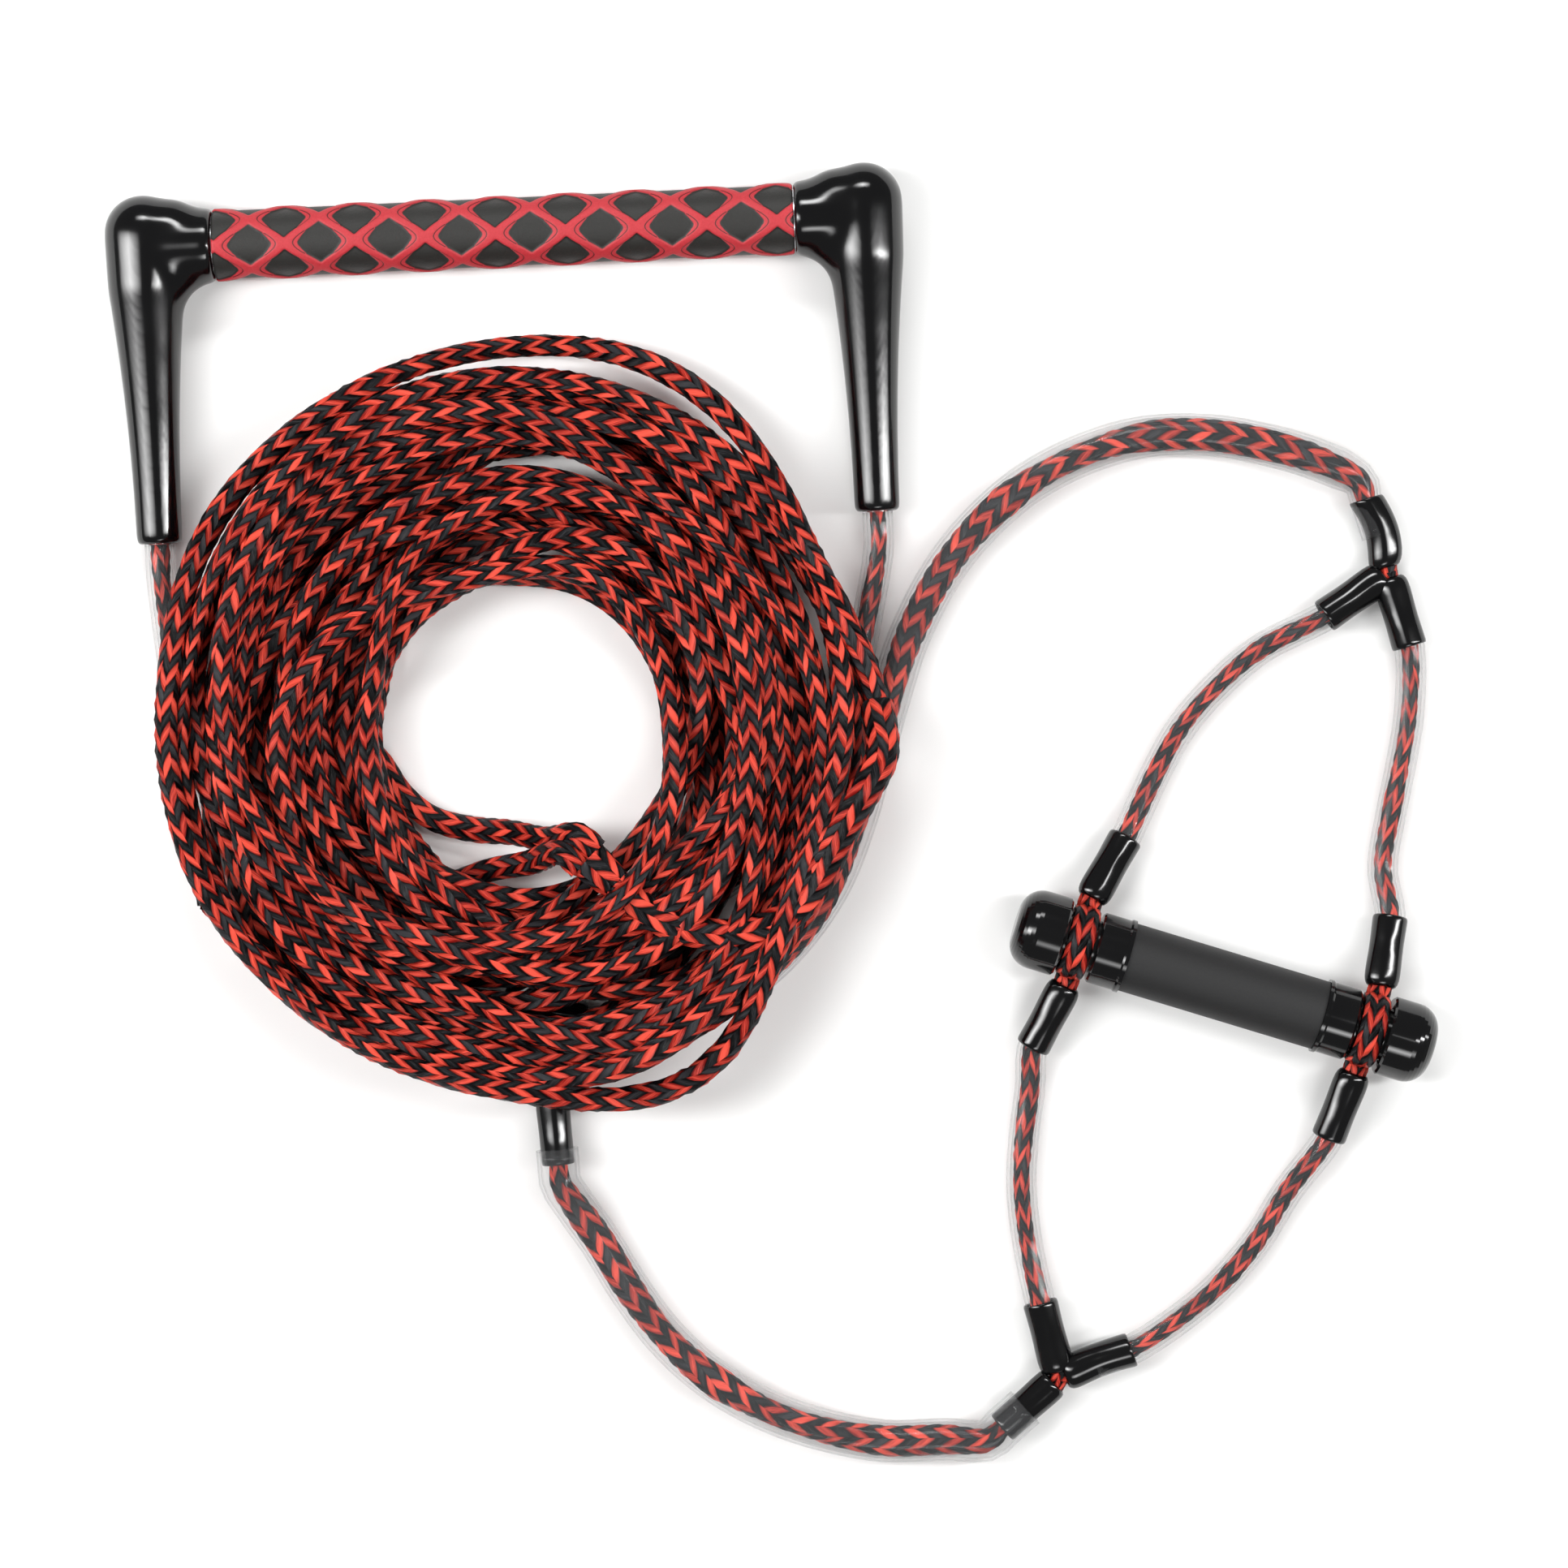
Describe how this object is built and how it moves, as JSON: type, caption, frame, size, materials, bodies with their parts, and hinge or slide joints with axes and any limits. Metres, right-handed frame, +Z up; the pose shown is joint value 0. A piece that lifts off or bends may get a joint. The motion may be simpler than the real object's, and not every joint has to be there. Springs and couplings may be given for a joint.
{
  "type": "water-ski tow rope",
  "caption": "Towing line for water sports: wide foam-grip handle with L-shaped boots, clear-hosed bridle, short in-line handle that turns in rope loops, and a coiled braided line with an eye.",
  "frame": {"origin": "on the surface that the rope lies on, in plan midway between the outer edges of its two handles", "axes": "+X along the main handle's bar, +Y from the rope towards the bar, +Z up from the surface"},
  "size_m": [0.4982, 0.498, 0.0507],
  "materials": {
    "aluminium_tube": "drawn tube, satin",
    "foam_grip": "soft closed-cell foam, charcoal diamonds in a raised red web",
    "rubber_grip": "matte moulded rubber",
    "bush_plastic": "moulded",
    "cap_plastic": "moulded, semi-gloss",
    "dipped_vinyl": "dip-moulded, glossy",
    "clear_vinyl": "clear flexible hose",
    "braided_rope": "hollow braid, red and black chevrons"
  },
  "bodies": {
    "line": {"left_bridle_hose": "clear_vinyl", "left_bridle_rope": "braided_rope", "right_bridle_hose": "clear_vinyl", "right_bridle_rope": "braided_rope", "bridle_fork_line_boot": "dipped_vinyl", "bridle_fork_left_boot": "dipped_vinyl", "bridle_fork_right_boot": "dipped_vinyl", "bridle_fork_splice": "braided_rope", "upper_line_hose": "clear_vinyl", "upper_line_rope": "braided_rope", "upper_fork_line_boot": "dipped_vinyl", "upper_fork_left_boot": "dipped_vinyl", "upper_fork_right_boot": "dipped_vinyl", "upper_fork_splice": "braided_rope", "upper_left_leg_hose": "clear_vinyl", "upper_left_leg_rope": "braided_rope", "upper_right_leg_hose": "clear_vinyl", "upper_right_leg_rope": "braided_rope", "lower_left_leg_hose": "clear_vinyl", "lower_left_leg_rope": "braided_rope", "lower_right_leg_hose": "clear_vinyl", "lower_right_leg_rope": "braided_rope", "upper_left_loop_boot": "dipped_vinyl", "upper_right_loop_boot": "dipped_vinyl", "lower_left_loop_boot": "dipped_vinyl", "lower_right_loop_boot": "dipped_vinyl", "left_rope_loop": "braided_rope", "right_rope_loop": "braided_rope", "lower_fork_line_boot": "dipped_vinyl", "lower_fork_left_boot": "dipped_vinyl", "lower_fork_right_boot": "dipped_vinyl", "lower_fork_splice": "braided_rope", "lower_line_hose": "clear_vinyl", "lower_line_rope": "braided_rope", "coil_boot": "dipped_vinyl", "line_lead": "braided_rope", "rope_coil": "braided_rope", "line_end": "braided_rope", "eye_splice": "braided_rope", "boat_eye": "braided_rope"},
    "main_handle": {"main_bar_tube": "aluminium_tube", "main_grip": "foam_grip", "left_bar_bush": "bush_plastic", "right_bar_bush": "bush_plastic", "left_end_boot": "dipped_vinyl", "right_end_boot": "dipped_vinyl", "left_arm_sleeve": "clear_vinyl", "right_arm_sleeve": "clear_vinyl", "handle_rope": "braided_rope"},
    "short_handle": {"short_core_tube": "aluminium_tube", "short_grip": "rubber_grip", "short_left_cap": "cap_plastic", "short_right_cap": "cap_plastic"}
  },
  "joints": [
    {"name": "main_handle_lift", "type": "hinge", "parent": "line", "child": "main_handle", "pos_m": [-0.09468, 0.04672, 0.00958], "axis": [1, 0, 0], "range_deg": [0, 30], "deforming": ["left_bridle_hose", "left_bridle_rope", "right_bridle_hose", "right_bridle_rope"]},
    {"name": "short_handle_spin", "type": "hinge", "parent": "line", "child": "short_handle", "pos_m": [0.16632, -0.14043, 0.0153], "axis": [0.9426, -0.3338, 0], "continuous": true}
  ]
}
